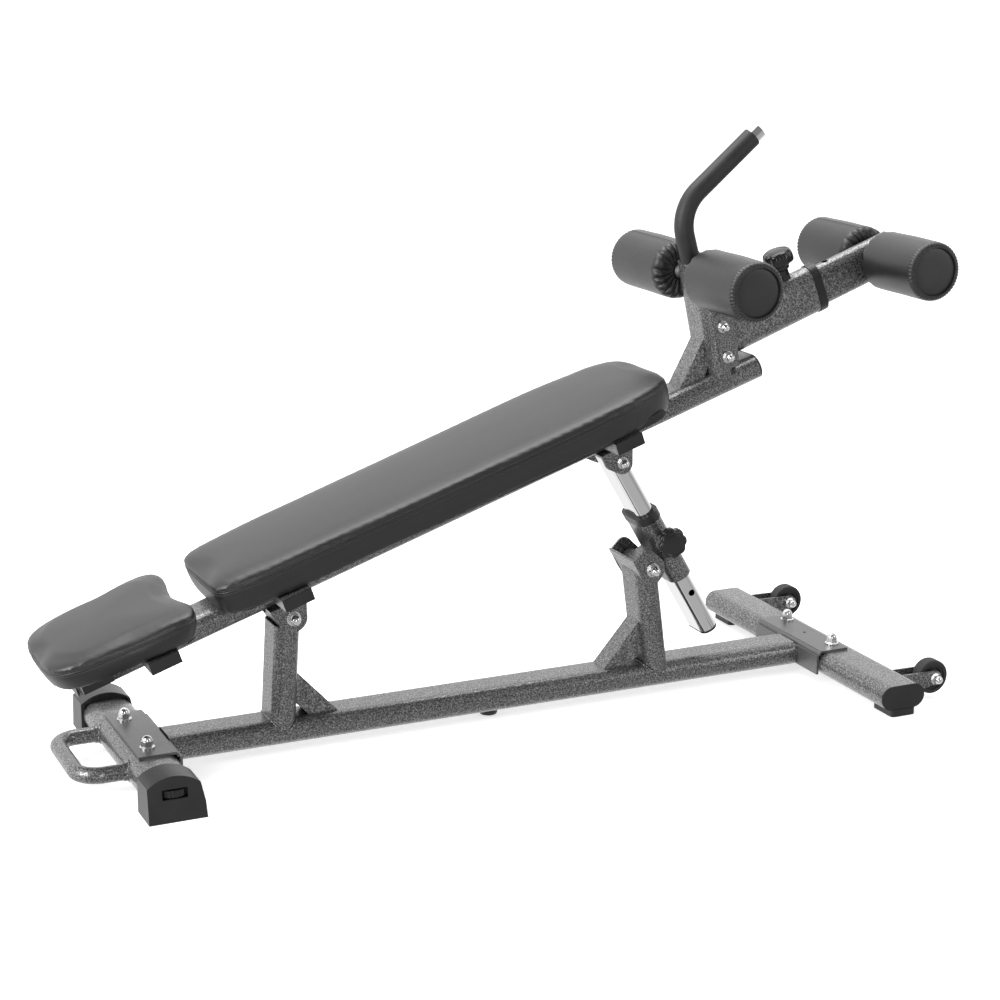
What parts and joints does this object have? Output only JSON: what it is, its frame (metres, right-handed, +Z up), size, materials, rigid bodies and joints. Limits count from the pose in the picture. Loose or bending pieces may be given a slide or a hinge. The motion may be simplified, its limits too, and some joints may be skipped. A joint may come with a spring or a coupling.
{
  "type": "adjustable weight bench",
  "caption": "Sloping padded exercise bench on a flat-oval tube frame, with a pinned telescoping strut, leg rollers on a sliding boom and an assist handle.",
  "frame": {"origin": "on the floor under the middle of the bench's bounding box", "axes": "+X along the bench from the head pad to the transport wheels, +Y across the bench, +Z up"},
  "size_m": [1.4862, 0.584, 0.9251],
  "materials": {
    "frame_paint": "hammertone powder coat",
    "plate_paint": "smooth grey powder coat",
    "fastener_chrome": "polished",
    "bare_steel": "satin",
    "bright_chrome": "polished",
    "black_plastic": "satin moulded",
    "knob_plastic": "semi-gloss moulded",
    "black_rubber": "satin",
    "wheel_tyre": "matte",
    "pad_vinyl": "fine grained vinyl",
    "roller_vinyl": "smooth vinyl",
    "plywood": "raw"
  },
  "bodies": {
    "base": {"main_rail": "frame_paint", "saddle_plates": "plate_paint", "saddle_bolts": "fastener_chrome", "front_stabilizer": "frame_paint", "rear_stabilizer": "frame_paint", "grab_handle": "frame_paint", "front_cap_left": "black_plastic", "front_cap_right": "black_plastic", "level_screws": "fastener_chrome", "rear_end_caps": "black_plastic", "rear_feet": "black_rubber", "wheel_brackets": "frame_paint", "wheel_axles": "fastener_chrome", "rail_bumper": "black_rubber", "front_post": "frame_paint", "front_bushing": "frame_paint", "rear_post": "frame_paint", "post_gussets": "frame_paint", "rear_fork": "frame_paint", "fork_bolt": "fastener_chrome"},
    "upper_frame": {"upper_tube": "frame_paint", "tube_plugs": "black_plastic", "front_pivot_bracket": "frame_paint", "strut_bracket": "frame_paint", "pivot_bolts": "fastener_chrome", "pad_crossmembers": "frame_paint", "head_pad": "pad_vinyl", "head_pad_board": "plywood", "main_pad": "pad_vinyl", "main_pad_board": "plywood", "upper_post": "frame_paint", "upper_gusset": "frame_paint", "boom_channel": "frame_paint", "channel_bolts": "fastener_chrome", "boom_tube": "frame_paint", "boom_collar": "black_plastic", "boom_pin_housing": "knob_plastic", "front_roller_axle": "bare_steel", "assist_handle": "bright_chrome", "handle_grip": "black_rubber"},
    "sleeve": {"sleeve_tube": "frame_paint", "sleeve_collar": "black_plastic", "strut_pin_housing": "knob_plastic"},
    "strut": {"strut_tube": "bright_chrome", "strut_plug": "black_plastic"},
    "strut_pin": {"strut_knob": "knob_plastic"},
    "boom_pin": {"boom_knob": "knob_plastic"},
    "boom_inner": {"boom_inner_tube": "frame_paint", "boom_inner_plug": "black_plastic", "rear_roller_axle": "bare_steel"},
    "front_roller_left": {"front_roller_left": "roller_vinyl"},
    "front_roller_right": {"front_roller_right": "roller_vinyl"},
    "rear_roller_left": {"rear_roller_left": "roller_vinyl"},
    "rear_roller_right": {"rear_roller_right": "roller_vinyl"},
    "wheel_left": {"wheel_hub_left": "black_plastic", "wheel_tyre_left": "wheel_tyre"},
    "wheel_right": {"wheel_hub_right": "black_plastic", "wheel_tyre_right": "wheel_tyre"},
    "level_wheel_left": {"level_wheel_left": "black_plastic"},
    "level_wheel_right": {"level_wheel_right": "black_plastic"}
  },
  "joints": [
    {"name": "bench_tilt", "type": "hinge", "parent": "base", "child": "upper_frame", "pos_m": [-0.3515, 0, 0.219], "axis": [0, -1, 0], "range_deg": [0, 11.19]},
    {"name": "sleeve_swing", "type": "hinge", "parent": "base", "child": "sleeve", "pos_m": [0.262, 0, 0.219], "axis": [0, -1, 0], "range_deg": [-3, 0.1]},
    {"name": "strut_slide", "type": "slide", "parent": "sleeve", "child": "strut", "axis": [-0.4968, 0, 0.8679], "range_m": [-0.001, 0.118]},
    {"name": "boom_slide", "type": "slide", "parent": "upper_frame", "child": "boom_inner", "axis": [0.9397, 0, 0.342], "range_m": [-0.08, 0]},
    {"name": "strut_pin_pull", "type": "slide", "parent": "sleeve", "child": "strut_pin", "axis": [0, -1, 0], "range_m": [0, 0.008], "stiffness_N_per_m": 600, "springref_m": -0.004},
    {"name": "boom_pin_pull", "type": "slide", "parent": "upper_frame", "child": "boom_pin", "axis": [-0.342, 0, 0.9397], "range_m": [0, 0.008], "stiffness_N_per_m": 600, "springref_m": -0.004},
    {"name": "front_roller_left_spin", "type": "hinge", "parent": "upper_frame", "child": "front_roller_left", "pos_m": [0.3538, 0, 0.69], "axis": [0, 1, 0], "continuous": true},
    {"name": "front_roller_right_spin", "type": "hinge", "parent": "upper_frame", "child": "front_roller_right", "pos_m": [0.3538, 0, 0.69], "axis": [0, 1, 0], "continuous": true},
    {"name": "rear_roller_left_spin", "type": "hinge", "parent": "boom_inner", "child": "rear_roller_left", "pos_m": [0.69569, 0, 0.69464], "axis": [0, 1, 0], "continuous": true},
    {"name": "rear_roller_right_spin", "type": "hinge", "parent": "boom_inner", "child": "rear_roller_right", "pos_m": [0.69569, 0, 0.69464], "axis": [0, 1, 0], "continuous": true},
    {"name": "wheel_left_spin", "type": "hinge", "parent": "base", "child": "wheel_left", "pos_m": [0.6805, 0.2294, 0.036], "axis": [0, 1, 0], "continuous": true},
    {"name": "wheel_right_spin", "type": "hinge", "parent": "base", "child": "wheel_right", "pos_m": [0.6805, -0.2294, 0.036], "axis": [0, 1, 0], "continuous": true},
    {"name": "level_left_turn", "type": "hinge", "parent": "base", "child": "level_wheel_left", "pos_m": [-0.595, 0.2, 0.041], "axis": [0, 0, 1], "continuous": true},
    {"name": "level_right_turn", "type": "hinge", "parent": "base", "child": "level_wheel_right", "pos_m": [-0.595, -0.2, 0.041], "axis": [0, 0, 1], "continuous": true}
  ],
  "couplings": [
    {"joint": "sleeve_swing", "follows": "bench_tilt", "ratio": -0.24},
    {"joint": "strut_slide", "follows": "bench_tilt", "m_per_rad": 0.5945}
  ]
}
